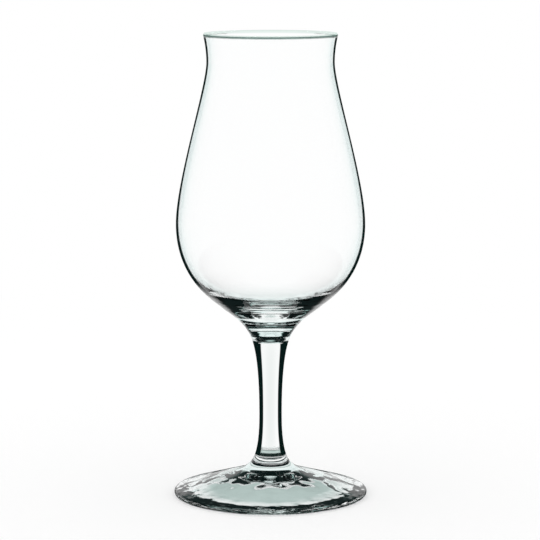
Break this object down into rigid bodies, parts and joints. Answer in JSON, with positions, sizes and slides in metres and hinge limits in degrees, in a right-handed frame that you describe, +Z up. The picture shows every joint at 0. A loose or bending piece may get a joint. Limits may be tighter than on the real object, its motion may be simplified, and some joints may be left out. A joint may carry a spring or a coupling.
{
  "type": "whisky nosing glass",
  "caption": "Clear stemmed nosing glass with a round-bellied tulip bowl, drawn-in neck, flared lip, short waisted stem and a wide shallow foot.",
  "frame": {"origin": "middle of the circle that the foot stands on, on the table", "axes": "+Z up the glass's own axis, from the foot to the lip; the glass is round, so +X and +Y are free"},
  "size_m": [0.0714, 0.0714, 0.171],
  "materials": {
    "bowl_crystal": "clear blown crystal, fire-polished",
    "stem_crystal": "clear pulled crystal, fire-polished",
    "foot_crystal": "clear pressed crystal, fire-polished"
  },
  "bodies": {
    "root": {"bowl": "bowl_crystal", "stem": "stem_crystal", "foot": "foot_crystal"}
  },
  "joints": []
}
